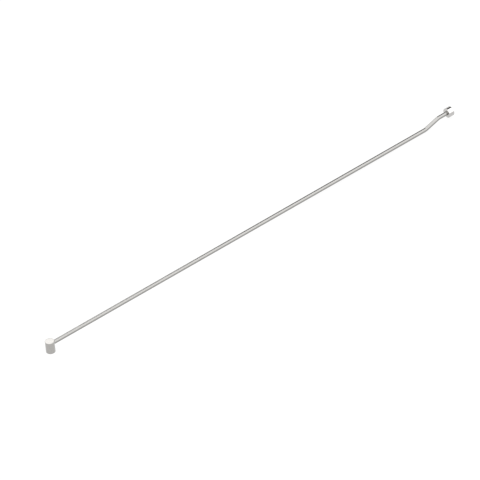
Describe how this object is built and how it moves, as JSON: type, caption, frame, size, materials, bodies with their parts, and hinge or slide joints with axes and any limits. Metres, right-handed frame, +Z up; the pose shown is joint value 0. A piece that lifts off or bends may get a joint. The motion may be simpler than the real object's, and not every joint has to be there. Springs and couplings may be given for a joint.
{
  "type": "inoculating loop",
  "caption": "Long-reach inoculating loop holder: a slender cranked steel rod with a collet chuck for the loop's wire at one end and a short cross barrel at the other.",
  "frame": {"origin": "on the wire's axis, where the wire leaves the collet at the front of the chuck", "axes": "+X out along the wire and away from the rod, +Z up, and the foot of the barrel head faces -Z"},
  "size_m": [0.3163, 0.006, 0.0113],
  "materials": {
    "rod_steel": "drawn and polished",
    "turned_steel": "turned and polished",
    "collet_brass": "turned",
    "screw_steel": "plain"
  },
  "bodies": {
    "holder": {"handle_rod": "rod_steel", "barrel_head": "turned_steel", "grub_screw": "screw_steel"},
    "collet": {"collet": "collet_brass"},
    "nut": {"chuck_nut": "turned_steel"}
  },
  "joints": [
    {"name": "collet_slide", "type": "slide", "parent": "holder", "child": "collet", "axis": [1, 0, 0], "range_m": [0, 0.0009]},
    {"name": "nut_turn", "type": "hinge", "parent": "collet", "child": "nut", "pos_m": [-0.0034, 0, 0], "axis": [1, 0, 0], "range_deg": [0, 720]}
  ],
  "couplings": [
    {"joint": "nut_turn", "follows": "collet_slide", "rad_per_m": 13963}
  ]
}
